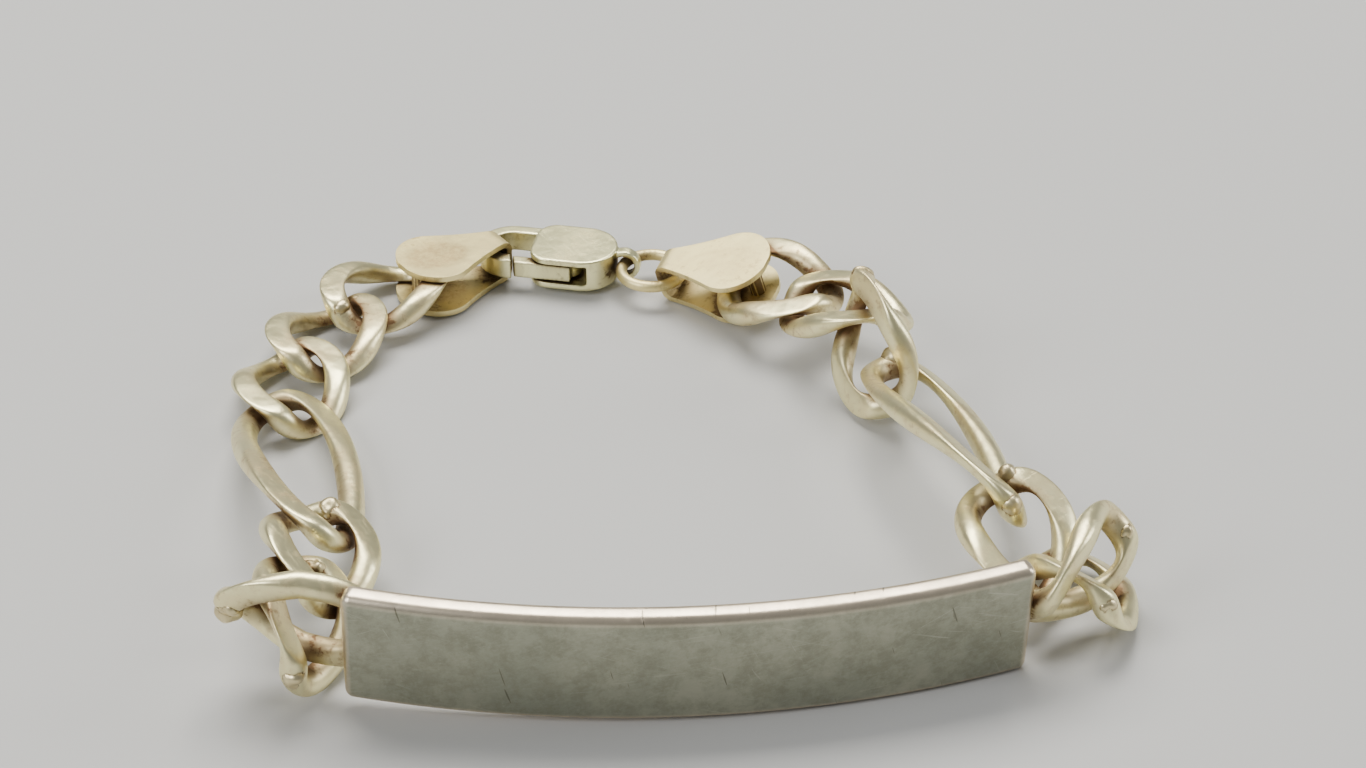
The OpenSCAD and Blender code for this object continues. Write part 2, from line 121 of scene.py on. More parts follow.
class Finish:
    """A material that is being wired."""

    def __init__(self, name):
        self.material = bpy.data.materials.new(name)
        self.material.use_nodes = True
        self.tree = self.material.node_tree
        self.tree.nodes.clear()
        self.shader = self.tree.nodes.new("ShaderNodeBsdfPrincipled")
        out = self.tree.nodes.new("ShaderNodeOutputMaterial")
        self.tree.links.new(self.shader.outputs["BSDF"], out.inputs["Surface"])

    def node(self, kind, settings, inputs, output=0):
        """Adds one node: its settings first, then values or wires for its sockets."""
        made = self.tree.nodes.new(kind)
        for name, value in settings.items():
            setattr(made, name, value)
        pairs = inputs.items() if isinstance(inputs, dict) else enumerate(inputs)
        for key, value in pairs:
            self.feed(made.inputs[key], value)
        return Wire(self, made.outputs[output])

    def feed(self, socket, value):
        """Links a wire to a socket, or sets the socket's own value."""
        if isinstance(value, Wire):
            self.tree.links.new(value.socket, socket)
        else:
            socket.default_value = value

    def set(self, **values):
        """Feeds the surface shader's sockets, with _ in place of a blank."""
        for name, value in values.items():
            self.feed(self.shader.inputs[name.replace("_", " ")], value)

    def place(self):
        """The place on the object, in metres."""
        return self.node("ShaderNodeTexCoord", {}, {}, "Object")

    def stretched(self, where, turn, scale):
        """The place turned by some degrees and then scaled: noise on it runs in one direction."""
        return self.node("ShaderNodeMapping", {"vector_type": "TEXTURE"},
                         {"Vector": where, "Scale": [1 / s for s in scale],
                          "Rotation": [math.radians(a) for a in turn]})

    def noise(self, where, per_metre, detail=3.0, rough=0.55, warp=0.0):
        """Noise between 0 and 1, with some number of blots to a metre."""
        return self.node("ShaderNodeTexNoise", {},
                         {"Vector": where, "Scale": per_metre, "Detail": detail,
                          "Roughness": rough, "Distortion": warp})

    def measure(self, name):
        """A number kept on the mesh's points."""
        return self.node("ShaderNodeAttribute", {"attribute_name": name}, {}, "Fac")

    def mix(self, mask, a, b):
        """Colour a where the mask is 0, colour b where it is 1."""
        a, b = [c if isinstance(c, Wire) else (*c, 1.0) for c in (a, b)]
        return self.node("ShaderNodeMix", {"data_type": "RGBA"}, {0: mask, 6: a, 7: b}, 2)

    def bump(self, height, depth_mm, under=None):
        """Relief of some depth, laid over the relief under it."""
        inputs = {"Height": height, "Distance": depth_mm * MM, "Strength": 1.0}
        if under is not None:
            inputs["Normal"] = under
        return self.node("ShaderNodeBump", {}, inputs)


# %% [markdown]
# ## Worn silver
# Sterling silver tarnishes: sulphur in the air turns it warm and then brown,
# first in the corners that skin and cloth never rub. Wherever the bracelet
# rubs, it stays pale and gets a net of hair scratches. So one recipe serves
# every piece: a pale tone, a brown tone, and a mask that gathers the brown
# near other metal, on inward faces and in cloudy patches. Near other metal and
# on inward faces the brown is partly that tarnish and partly painted shade,
# the darkness of the crevices between parts.

# %% Worn silver
def worn_silver(name, pale, warm, brown, rough, patches=0.5, dents=0.02, links=False, patch=None):
    """Silver in three tones, with dents of some mm, and the tone of its worn patch if it has one."""
    finish = Finish(name)
    where = finish.place()
    cloud = finish.noise(where, 230.0, 4.0).between(0.42, 0.68)
    speck = finish.noise(where, 1500.0, 4.0, 0.65).between(0.50, 0.72)
    # Painted shade, partly tarnish: near other metal and on the links' inward faces the colour turns
    # warm and brown, as the crevices between parts would be in shade
    near = finish.measure("near_metal")
    inward = finish.measure("inward") if links else 0.0
    shade = near * 1.15 + inward * (cloud * 0.50 + 0.28) + near * speck * 0.6
    dirt_and_painted_shade = (shade + cloud * speck * 0.30 + speck * 0.10).clamp()
    tone = finish.mix((cloud * patches + near * 0.5 + speck * 0.28).clamp(), pale, warm)
    if patch:
        rubbed = finish.noise(where, 2400.0, 5.0, 0.7).between(0.30, 0.66) * 0.6 + 0.3
        blot = finish.measure("worn_patch") * rubbed
        tone = finish.mix(blot, tone, patch)
    hairs = finish.noise(finish.stretched(where, (0, 0, 35), (9000, 300, 2500)), 1.0, 2.0)
    cross = finish.noise(finish.stretched(where, (0, 20, -50), (7000, 350, 2500)), 1.0, 2.0)
    scratch = (hairs.between(0.60, 0.72) + cross.between(0.62, 0.74)).clamp()
    dull = dirt_and_painted_shade * 0.22 + speck * 0.08 + cloud * 0.06 + scratch * 0.08 + rough
    finish.set(Base_Color=finish.mix(dirt_and_painted_shade, tone, brown), Metallic=1.0, Roughness=dull.clamp())
    soft = finish.noise(where, 420.0, 2.0)
    fine = finish.noise(where, 2600.0, 2.0)
    first = finish.bump(soft, dents * 6)
    second = finish.bump(fine, dents * 0.35, first)
    finish.set(Normal=finish.bump(1.0 - scratch, 0.003, second))
    return finish.material


chain_silver = worn_silver("chain_silver", (0.98, 0.91, 0.53), (0.86, 0.69, 0.38),
                           (0.22, 0.135, 0.07), 0.33, links=True)
cap_silver = worn_silver("cap_silver", (0.93, 0.80, 0.40), (0.81, 0.67, 0.32),
                         (0.24, 0.165, 0.08), 0.42, patches=0.35, dents=0.008,
                         patch=(0.62, 0.46, 0.22))
clasp_silver = worn_silver("clasp_silver", (0.98, 0.94, 0.54), (0.84, 0.75, 0.42),
                           (0.15, 0.105, 0.05), 0.32, patches=0.45, dents=0.010)
solder_silver = worn_silver("solder_silver", (0.80, 0.70, 0.42), (0.56, 0.44, 0.22),
                            (0.14, 0.09, 0.04), 0.34, dents=0.05)


# %% [markdown]
# ## Satin plate
# The plate was brushed flat once. Years of wear left it mottled, with fine
# scratches in every direction, and its grey is greener and darker than the
# chain's. A scratch is noise stretched some twenty times along one direction,
# of which only the peaks are kept. Four directions are laid over each other,
# and a few steep ones that are deep and hold dirt.

# %% Satin plate
# Each lay of hair scratches: its direction, its noise along each axis, and the
# two heights of that noise between which a scratch fades in
SCRATCH_LAYS = [((0, 20, 0), (200, 260, 5600), 0.700, 0.78),
                ((0, -29, 0), (260, 300, 4800), 0.715, 0.80),
                ((0, 66, 0), (300, 330, 4600), 0.735, 0.80),
                ((0, -7, 0), (150, 240, 6200), 0.690, 0.78)]
SCRATCH_BEND = 0.9


def satin_plate():
    """Dull grey-green silver under hair scratches, with a light warm rim that is partly rubbed and
    partly a painted highlight.
    """
    finish = Finish("plate_silver")
    where = finish.place()
    cloud = finish.noise(where, 75.0, 5.0, 0.65).between(0.36, 0.66)
    mottle = finish.noise(where, 520.0, 6.0, 0.75).between(0.38, 0.64)
    speck = finish.noise(where, 2300.0, 5.0, 0.8).between(0.50, 0.74)
    hairs = None
    for turn, scale, low, high in SCRATCH_LAYS:
        lay = finish.noise(finish.stretched(where, turn, scale), 1.0, 1.0, 0.5, SCRATCH_BEND)
        lay = lay.between(low, high)
        hairs = lay if hairs is None else hairs + lay
    groups = finish.noise(where, 130.0, 2.0).between(0.35, 0.62)
    hairs = hairs.clamp() * (groups * 0.8 + 0.2)
    brushed = finish.noise(finish.stretched(where, (0, -20, 0), (1900, 1900, 5500)), 1.0, 4.0, 0.7)
    deep = finish.noise(finish.stretched(where, (0, 76, 0), (330, 330, 4300)), 1.0, 0.5, 0.9)
    deep = deep.between(0.765, 0.80)
    rim = finish.measure("rim")
    near = finish.measure("near_metal")
    tone = finish.mix(cloud, (0.355, 0.365, 0.285), (0.475, 0.475, 0.37))
    tone = finish.mix(mottle * 0.45, tone, (0.28, 0.285, 0.21))
    rubbed = brushed.between(0.42, 0.7) * 0.14 + speck * 0.20 + hairs * 0.5
    tone = finish.mix(rubbed.clamp(), tone, (0.60, 0.60, 0.49))
    # Painted highlight, partly real rubbing: the rim band along every edge is much lighter and warmer
    tone = finish.mix(rim * 0.95, tone, (0.87, 0.74, 0.56))
    # Painted shade where other metal meets the plate, with real dirt in the deep scratches and the
    # mottle
    dirt_and_painted_shade = (near * 0.8 + deep * 0.6 + (1.0 - speck) * mottle * 0.12).clamp()
    dull = cloud * 0.06 + speck * 0.05 + mottle * 0.06 + 0.40 - hairs * 0.06 - rim * 0.12
    finish.set(Base_Color=finish.mix(dirt_and_painted_shade, tone, (0.13, 0.12, 0.085)), Metallic=1.0,
               Roughness=dull.clamp())
    soft = finish.bump(finish.noise(where, 160.0, 2.0), 0.05)
    grain = finish.bump(mottle + speck * 0.4, 0.004, soft)
    finish.set(Normal=finish.bump(1.0 - hairs * 0.7 - deep * 1.5, 0.006, grain))
    return finish.material


plate_silver = satin_plate()


# %% [markdown]
# ## Curb links
# A curb link is a wire oval whose two ends are twisted against each other, so
# that the chain lies flat, and whose two faces are then ground. Two sizes of
# the same rule make the whole chain: three short links, one long. Geometry
# Nodes suit it: one tree bends a line into the twisted oval, gives it the
# wire's round section, grinds both faces, and sets a copy on each point of
# the chain.

# %% A small language for geometry trees
class Tree:
    """A Geometry Nodes tree with named inputs."""

    def __init__(self, name, sizes):
        self.group = bpy.data.node_groups.new(name, "GeometryNodeTree")
        face = self.group.interface
        face.new_socket("Geometry", in_out="INPUT", socket_type="NodeSocketGeometry")
        for size, value in sizes.items():
            socket = face.new_socket(size, in_out="INPUT", socket_type="NodeSocketFloat")
            socket.default_value = value
        face.new_socket("Geometry", in_out="OUTPUT", socket_type="NodeSocketGeometry")
        self.start = self.group.nodes.new("NodeGroupInput")
        self.end = self.group.nodes.new("NodeGroupOutput")

    def node(self, kind, settings, inputs, output=0):
        """Adds one node: its settings first, then values or links for its sockets."""
        made = self.group.nodes.new(kind)
        for name, value in settings.items():
            setattr(made, name, value)
        pairs = inputs.items() if isinstance(inputs, dict) else enumerate(inputs)
        for key, value in pairs:
            if isinstance(value, bpy.types.NodeSocket):
                self.group.links.new(value, made.inputs[key])
            else:
                made.inputs[key].default_value = value
        return made.outputs[output]

    def size(self, name):
        """One of the tree's named inputs."""
        return self.start.outputs[name]

    def math(self, operation, *values):
        """One Math node."""
        return self.node("ShaderNodeMath", {"operation": operation}, values)

    def finish(self, geometry, material):
        """Ends the tree with plain smooth geometry of one material."""
        real = self.node("GeometryNodeRealizeInstances", {}, [geometry])
        smooth = self.node("GeometryNodeSetShadeSmooth", {}, {"Geometry": real, "Shade Smooth": True})
        done = self.node("GeometryNodeSetMaterial", {}, {"Geometry": smooth, "Material": material})
        self.group.links.new(done, self.end.inputs[0])


def run_tree(tree, carrier):
    """Runs a tree on an object and hands back the result as a plain mesh."""
    modifier = carrier.modifiers.new("rule", "NODES")
    modifier.node_group = tree.group
    graph = bpy.context.evaluated_depsgraph_get()
    mesh = bpy.data.meshes.new_from_object(carrier.evaluated_get(graph),
                                           preserve_all_data_layers=True, depsgraph=graph)
    carrier.modifiers.clear()
    return mesh


# %% One link as a rule
WIRE, GROUND, FULLNESS = 1.9, 2.4, 0.16
GROUND_EDGE = 1.30
RINGS, SIDES = 120, 32


def link_rule(tree, length, width, twist, seat=1.0, cut=0.0):
    """Nodes that bend a line into one curb link, x along it and z across its ground faces.

    seat is the share of the twist on its near side. cut, in degrees, is what is
    missing there on either side of the tip, where the wire ends in the solder.
    """
    closed = cut == 0.0
    count = RINGS if closed else RINGS + 1
    line = tree.node("GeometryNodeCurvePrimitiveLine", {}, {})
    line = tree.node("GeometryNodeResampleCurve", {}, {"Curve": line, "Count": count})
    part = tree.node("GeometryNodeSplineParameter", {}, {})
    span = math.radians(360 - 2 * cut) * ((RINGS - 1) / RINGS if closed else 1.0)
    angle = tree.math("MULTIPLY_ADD", part, span, math.radians(180 + cut))
    c, q = tree.math("COSINE", angle), tree.math("SINE", angle)
    cc, qq = tree.math("MULTIPLY", c, c), tree.math("MULTIPLY", q, q)
    wire = tree.size("Wire")
    a = tree.math("MULTIPLY", tree.math("SUBTRACT", length, wire), 0.5)
    b = tree.math("MULTIPLY", tree.math("SUBTRACT", width, wire), 0.5)
    x = tree.math("MULTIPLY", tree.math("MULTIPLY", a, c), tree.math("MULTIPLY_ADD", qq, FULLNESS, 1.0))
    y = tree.math("MULTIPLY", tree.math("MULTIPLY", b, q), tree.math("MULTIPLY_ADD", cc, FULLNESS, 1.0))
    near = tree.math("LESS_THAN", c, 0.0)
    share = tree.math("MULTIPLY_ADD", near, seat - 1.0, 1.0)
    turn = tree.math("MULTIPLY", tree.math("MULTIPLY", c, share), -math.radians(twist))
    level = tree.math("MULTIPLY", y, tree.math("COSINE", turn))
    raised = tree.math("MULTIPLY", y, tree.math("SINE", turn))
    spot = tree.node("ShaderNodeCombineXYZ", {}, [x, level, raised])
    bent = tree.node("GeometryNodeSetPosition", {}, {"Geometry": line, "Position": spot})
    bent = tree.node("GeometryNodeSetSplineCyclic", {}, {"Geometry": bent, "Cyclic": closed})
    middle = tree.node("GeometryNodeInputPosition", {}, {})
    bent = tree.node("GeometryNodeStoreNamedAttribute", {"data_type": "FLOAT_VECTOR"},
                     {"Geometry": bent, "Name": "middle", "Value": middle})
    section = tree.node("GeometryNodeCurvePrimitiveCircle", {},
                        {"Resolution": SIDES, "Radius": tree.math("MULTIPLY", wire, 0.5)})
    tube = tree.node("GeometryNodeCurveToMesh", {},
                     {"Curve": bent, "Profile Curve": section, "Fill Caps": True})
    return ground_faces(tree, tube)


def ground_faces(tree, tube):
    """Grinds both faces flat, and notes how far each point looks into the link's hollow."""
    here = tree.node("GeometryNodeInputPosition", {}, {})
    middle = tree.node("GeometryNodeInputNamedAttribute", {"data_type": "FLOAT_VECTOR"},
                       {"Name": "middle"})
    out = tree.node("ShaderNodeVectorMath", {"operation": "SUBTRACT"}, [here, middle])
    away = tree.node("ShaderNodeVectorMath", {"operation": "MULTIPLY"}, [middle, (1.0, 1.0, 0.0)])
    away = tree.node("ShaderNodeVectorMath", {"operation": "NORMALIZE"}, [away])
    dot = tree.node("ShaderNodeVectorMath", {"operation": "DOT_PRODUCT"}, [out, away], "Value")
    inward = tree.math("DIVIDE", dot, tree.math("MULTIPLY", tree.size("Wire"), -0.5))
    inward = tree.node("ShaderNodeClamp", {}, [inward, 0.0, 1.0])
    tube = tree.node("GeometryNodeStoreNamedAttribute", {"data_type": "FLOAT"},
                     {"Geometry": tube, "Name": "inward", "Value": inward})
    split = tree.group.nodes.new("ShaderNodeSeparateXYZ")
    tree.group.links.new(here, split.inputs[0])
    x, y, z = split.outputs
    flat = tree.math("MULTIPLY", tree.size("Ground"), 0.5)
    low = tree.math("SMOOTH_MAX", z, tree.math("MULTIPLY", flat, -1.0), tree.size("Edge"))
    low = tree.math("SMOOTH_MIN", low, flat, tree.size("Edge"))
    spot = tree.node("ShaderNodeCombineXYZ", {}, [x, y, low])
    return tree.node("GeometryNodeSetPosition", {}, {"Geometry": tube, "Position": spot})


# %% Where each link lies
def lie_of(node):
    """Middle and axes of a packed link, from the spread of its points: length, width, thickness."""
    points = np.array([v.co for v in nodes[node].data.vertices])
    points = np.unique(points.round(7), axis=0)
    middle = points.mean(0)
    _, _, rows = np.linalg.svd(points - middle, full_matrices=False)
    rows[2] = np.cross(rows[0], rows[1])
    return Vector(middle), Matrix(rows.tolist()).transposed()


# Length, width and twist in degrees
SHORT, LONG = (11.2, 8.7, 50.0), (23.5, 9.0, 40.0)
LINK_NODES = [f"{half}_link_{i}" for half in ("left", "right") for i in range(1, 7)]
LONG_NODES = ["left_link_3", "right_link_3"]
print("links", len(LINK_NODES), "long ones", LONG_NODES)


# %% [markdown]
# ## Plate frame
# The plate leans and turns a little where it stands. Its own axes come from
# those three small angles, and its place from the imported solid: both boxes
# must have the same middle.

# %% Plate frame
# Sizes in mm, angles in degrees, and the solder's height as a share of the plate's
PLATE_LONG, PLATE_HIGH, PLATE_THICK, PLATE_BOW = 45.5, 8.9, 1.7, 78.0
SOLDER_HEIGHT = 0.58
LEAN, ROCK, TURN = (math.radians(a) for a in (5.5, 1.1, 5.2))
MID_BOW = PLATE_BOW - PLATE_THICK / 2
HALF_ARC = PLATE_LONG / PLATE_BOW / 2
plate_turn = (Matrix.Rotation(TURN, 3, "Z") @ Matrix.Rotation(ROCK, 3, "Y")
              @ Matrix.Rotation(LEAN, 3, "X"))


def end_lie(side, way, inward, heading, climb, roll):
    """Middle and axes of a soldered end link, in the plate's own frame.

    way is how far its middle is from the plate's end, in link lengths, and
    inward, heading, climb and roll are angles in degrees.
    """
    toward = side * (HALF_ARC + math.radians(inward)) + (0 if side > 0 else math.pi)
    facing = side * (HALF_ARC + math.radians(heading)) + (0 if side > 0 else math.pi)
    x = side * MID_BOW * math.sin(HALF_ARC) + way * SHORT[0] * math.cos(toward)
    y = PLATE_BOW - MID_BOW * math.cos(HALF_ARC) + way * SHORT[0] * math.sin(toward)
    turn = (Matrix.Rotation(facing, 3, "Z") @ Matrix.Rotation(-math.radians(climb), 3, "Y")
            @ Matrix.Rotation(math.radians(roll), 3, "X"))
    return Vector((x, y, SOLDER_HEIGHT * PLATE_HIGH)), turn


# The end links are narrower, and the left one ends in the solder on the plate
END_WIDE, LEFT_CUT, LEFT_SEAT = 7.8, 37.0, 0.3
left_end = end_lie(side=-1, way=0.30, inward=16, heading=0, climb=3, roll=85)
right_end = end_lie(side=1, way=0.47, inward=22, heading=28, climb=0, roll=88)


# %% [markdown]
# ## Name plate
# The blank is a strip of sheet with a rounded edge all round, rounded corners
# and a slow bow. It is made column by column along the bow. Near each end a
# column gets shorter, for the corners, and at the very end thinner, for the
# rounded edge.

# %% Name plate
CORNER, EDGE = 0.7, 0.62
# Below 1, so that the section's rounding never shrinks to nothing at the tips
ROUND_KEPT = 0.98
COLUMNS, ARC_STEPS, CORNER_STEPS, ROWS = 150, 7, 8, 18


def plate_columns():
    """Distance along the bow and inset of the edge, for each column."""
    half = PLATE_LONG / 2
    tips = [(half - EDGE * (1 - math.sin(math.pi / 2 * k / ARC_STEPS)),
             EDGE * (1 - math.cos(math.pi / 2 * k / ARC_STEPS))) for k in range(1, ARC_STEPS + 1)]
    corner = [(half - CORNER + (CORNER - EDGE) * k / CORNER_STEPS, 0.0)
              for k in range(CORNER_STEPS + 1)]
    middle = [((half - CORNER) * (2 * k / COLUMNS - 1), 0.0) for k in range(1, COLUMNS)]
    right = corner + tips
    return [(-s, i) for s, i in reversed(right)] + middle + right


def plate_section(s, inset):
    """Closed section of the plate at one column, as pairs of thickness and height."""
    d = PLATE_LONG / 2 - abs(s)
    drop = CORNER - math.sqrt(max(0.0, CORNER ** 2 - (CORNER - d) ** 2)) if d < CORNER else 0.0
    low, high = max(drop, inset), PLATE_HIGH - max(drop, inset)
    half = PLATE_THICK / 2 - inset
    r = EDGE - inset * ROUND_KEPT
    loop = []
    for cx, cz, start in ((half - r, low + r, -90), (half - r, high - r, 0),
                          (-half + r, high - r, 90), (-half + r, low + r, 180)):
        for k in range(ARC_STEPS + 1):
            g = math.radians(start + 90 * k / ARC_STEPS)
            loop.append((cx + r * math.cos(g), cz + r * math.sin(g)))
    side = [(low + r + (high - low - 2 * r) * k / ROWS) for k in range(1, ROWS)]
    cut = ARC_STEPS + 1
    return (loop[:cut] + [(half, z) for z in side] + loop[cut:3 * cut]
            + [(-half, z) for z in reversed(side)] + loop[3 * cut:])


def plate_point(s, out, high):
    """A point of the plate at a distance along its bow, out of its middle, and a height."""
    angle = s / PLATE_BOW
    r = PLATE_BOW - PLATE_THICK / 2 + out
    return Vector((r * math.sin(angle), PLATE_BOW - r * math.cos(angle), high))


def make_plate():
    """The whole strip, closed by a face at each end."""
    bm = bmesh.new()
    rings = [[bm.verts.new(plate_point(s, *p)) for p in plate_section(s, inset)]
             for s, inset in plate_columns()]
    count = len(rings[0])
    for one, two in zip(rings, rings[1:]):
        for k in range(count):
            bm.faces.new((one[k], one[(k + 1) % count], two[(k + 1) % count], two[k]))
    bm.faces.new(rings[0])
    bm.faces.new(rings[-1])
    bmesh.ops.recalc_face_normals(bm, faces=bm.faces)
    return bm


# %% Piece helpers
pieces = []


def add_piece(name, mesh, material, body="bracelet", slot="chain_silver", stands_for=()):
    """A finished mesh as a piece: its material, the body it rides on, what it stands for."""
    made = bpy.data.objects.new(name, mesh)
    bpy.context.scene.collection.objects.link(made)
    mesh.materials.clear()
    mesh.materials.append(material)
    pieces.append((made, body, slot, stands_for))


def mesh_from(bm, name):
    """A smooth-shaded mesh of what was built, which is then freed."""
    mesh = bpy.data.meshes.new(name)
    bm.to_mesh(mesh)
    bm.free()
    for face in mesh.polygons:
        face.use_smooth = True
    return mesh


def keep_measure(mesh, name, values):
    """Keeps a number on each point, for the materials to read."""
    kept = mesh.attributes.get(name) or mesh.attributes.new(name, "FLOAT", "POINT")
    kept.data.foreach_set("value", np.asarray(values, np.float32))


# %% Set the chain on its points
SHORT_LINK, LONG_LINK, RIGHT_END, LEFT_END = range(4)


def chain_points(rows):
    """A mesh of single points that carry each link's kind and turn."""
    mesh = bpy.data.meshes.new("chain_points")
    mesh.from_pydata([tuple(at) for at, turn, kind in rows], [], [])
    turns = mesh.attributes.new("turn", "FLOAT_VECTOR", "POINT")
    turns.data.foreach_set("vector", [v for at, turn, kind in rows for v in turn.to_euler()])
    kinds = mesh.attributes.new("kind", "INT", "POINT")
    kinds.data.foreach_set("value", [kind for at, turn, kind in rows])
    return mesh


def chain_tree():
    """A tree that sets one of four kinds of link on each point."""
    tree = Tree("curb_chain", {"Wire": WIRE * MM, "Ground": GROUND * MM, "Edge": GROUND_EDGE * MM,
                               "Short Length": SHORT[0] * MM, "Short Width": SHORT[1] * MM,
                               "Long Length": LONG[0] * MM, "Long Width": LONG[1] * MM,
                               "End Width": END_WIDE * MM})
    shapes = [link_rule(tree, tree.size("Short Length"), tree.size("Short Width"), SHORT[2]),
              link_rule(tree, tree.size("Long Length"), tree.size("Long Width"), LONG[2]),
              link_rule(tree, tree.size("Short Length"), tree.size("End Width"), SHORT[2]),
              link_rule(tree, tree.size("Short Length"), tree.size("End Width"), SHORT[2],
                        LEFT_SEAT, LEFT_CUT)]
    kind = tree.node("GeometryNodeInputNamedAttribute", {"data_type": "INT"}, {"Name": "kind"})
    turn = tree.node("GeometryNodeInputNamedAttribute", {"data_type": "FLOAT_VECTOR"},
                     {"Name": "turn"})
    index = tree.node("GeometryNodeInputIndex", {}, {})
    joined = tree.group.nodes.new("GeometryNodeJoinGeometry")
    for i, shape in enumerate(shapes):
        this = tree.node("FunctionNodeCompare", {"data_type": "INT", "operation": "EQUAL"},
                         {2: kind, 3: i})
        copies = tree.node("GeometryNodeInstanceOnPoints", {},
                           {"Points": tree.start.outputs[0], "Selection": this,
                            "Instance": shape, "Rotation": turn})
        tree.group.links.new(copies, joined.inputs[0])
    tree.finish(joined.outputs[0], chain_silver)
    return tree


def set_chain(rows, name):
    """Links on their rows of place, turn and kind, as one plain mesh."""
    carrier = bpy.data.objects.new("carrier", chain_points(rows))
    bpy.context.scene.collection.objects.link(carrier)
    mesh = run_tree(links_tree, carrier)
    bpy.data.objects.remove(carrier)
    mesh.name = name
    return mesh


links_tree = chain_tree()
rows = []
for node in LINK_NODES:
    middle, turn = lie_of(node)
    rows.append((middle, turn, LONG_LINK if node in LONG_NODES else SHORT_LINK))
chain_mesh = set_chain(rows, "chain_links")
add_piece("chain_links", chain_mesh, chain_silver, stands_for=LINK_NODES)
print("chain", len(chain_mesh.polygons), "faces")


# %% Plate and its soldered links
# The rim band along every edge of the plate, which its material makes lighter and warmer: partly rubbed
# edge, partly painted highlight
RIM_FULL, RIM_WIDE = 1.2, 0.52

ends = [(plate_turn @ right_end[0] * MM, plate_turn @ right_end[1], RIGHT_END),
        (plate_turn @ left_end[0] * MM, plate_turn @ left_end[1], LEFT_END)]
end_mesh = set_chain(ends, "end_links")
plate_bm = make_plate()
rim = []
for v in plate_bm.verts:
    along = PLATE_BOW * math.atan2(v.co.x, PLATE_BOW - v.co.y)
    inset = min(v.co.z, PLATE_HIGH - v.co.z, PLATE_LONG / 2 - abs(along))
    rim.append(min(1.0, max(0.0, RIM_FULL - inset / RIM_WIDE)))
    v.co = plate_turn @ v.co * MM
plate_mesh = mesh_from(plate_bm, "name_plate")
keep_measure(plate_mesh, "rim", rim)
both = np.array([v.co for m in (end_mesh, plate_mesh) for v in m.vertices])
low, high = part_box("id_plate")
shift = (low + high) / 2 - Vector((both.min(0) + both.max(0)) / 2)
gap = (high - low) - Vector(both.max(0) - both.min(0))
print("plate box smaller than the packed one by mm", [round(v / MM, 3) for v in gap])
for mesh in (end_mesh, plate_mesh):
    mesh.transform(Matrix.Translation(shift))
add_piece("name_plate", plate_mesh, plate_silver, slot="plate_silver", stands_for=["id_plate"])
add_piece("end_links", end_mesh, chain_silver)


# %% [markdown]
# ## Solder beads
# Every curb link is one bent wire whose ends were soldered, and a worn chain
# like this one was mended as well, so small uneven beads sit on some joints.
# A bead is a ball pushed in and out by a few waves, sunk into the wire.

# %% Solder beads
# Each bead: its link, what the soldered end looks at, its radius in mm, and
# the way it sits out of the wire
BEADS = [("left_link_1", "left_link_2", 0.74, (0.3, -0.8, 0.5)),
         ("left_link_1", "id_plate", 0.86, (0, -0.6, -0.5)),
         ("left_link_2", "left_link_3", 0.84, (0.4, -0.3, 0.8)),
         ("left_link_5", "left_link_6", 0.76, (0, -0.6, 0.7)),
         ("left_link_6", "left_link_5", 0.72, (0.3, -0.5, 0.7)),
         ("right_link_3", "right_link_4", 0.86, (0, 0.3, 0.9)),
         ("right_link_4", "right_link_5", 0.80, (0, -0.4, 0.8)),
         ("right_link_3", "right_link_2", 0.84, (0, -0.5, 0.8)),
         ("right_link_2", "right_link_3", 0.80, (-0.2, 0, 0.9)),
         ("right_link_1", "id_plate", 0.60, (0, -0.7, 0.5))]
# Side, lie and bead radius of the two links that are soldered to the plate
END_BEADS = [(-1, left_end, 0.98), (1, right_end, 0.62)]
BEAD_OUT, FIRST_SEED = 0.55, 3
WAVES, WAVE_PACE, BEAD_CORE, WAVE_HEIGHT = 6, 1.9, 0.92, 0.34


def bead(bm, at, size, seed):
    """Adds one ball whose surface a few random waves push in and out."""
    ball = bmesh.ops.create_icosphere(bm, subdivisions=4, radius=size * MM)["verts"]
    rng = np.random.default_rng(seed)
    ways = rng.normal(size=(WAVES, 3)) * WAVE_PACE / (size * MM)
    phases = rng.uniform(0, 6.28, WAVES)
    for v in ball:
        push = sum(math.sin(v.co.dot(Vector(w)) + p) for w, p in zip(ways, phases)) / WAVES
        v.co = v.co * (BEAD_CORE + WAVE_HEIGHT * push) + at


def wire_tip(middle, turn, long, goal):
    """Middle of the wire at the end of a link that looks towards the goal."""
    x = Vector(turn.col[0])
    return middle + x * math.copysign((long - WIRE) / 2 * MM, x.dot(goal - middle))


def add_beads():
    """Beads on the chain's links, and two on each soldered end link's outer tip."""
    spots = []
    for node, toward, size, out in BEADS:
        middle, turn = lie_of(node)
        low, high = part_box(toward)
        goal = (low + high) / 2
        if toward == "id_plate":
            side = -1 if node.startswith("left") else 1
            goal = Vector((side * PLATE_LONG / 2 * MM, low.y, middle.z))
        length = (LONG if node in LONG_NODES else SHORT)[0]
        spots.append((wire_tip(middle, turn, length, goal), size, out))
    for side, lie, size in END_BEADS:
        tip = wire_tip(plate_turn @ lie[0] * MM + shift, plate_turn @ lie[1], SHORT[0],
                       Vector((side, 0, 0)))
        spots += [(tip, size, (0.25, -0.75, 0.45)), (tip, size - 0.06, (-0.1, -0.45, -0.85))]
    bm = bmesh.new()
    for n, (tip, size, out) in enumerate(spots):
        bead(bm, tip + Vector(out).normalized() * BEAD_OUT * MM, size, FIRST_SEED + n)
    mesh = mesh_from(bm, "solder_beads")
    print("beads", len(spots), "with", len(mesh.polygons), "faces")
    add_piece("solder_beads", mesh, solder_silver)


add_beads()


# %% [markdown]
# ## Folded caps
# Each cap is one strip of sheet: a disc, a drawn-in neck, a tight fold, and the
# same back underneath, with a rivet through both discs and the last link. The
# strip is laid out as a grid along its path and then given its thickness with
# Solidify, so that the fold is one even bend as on the real cap.

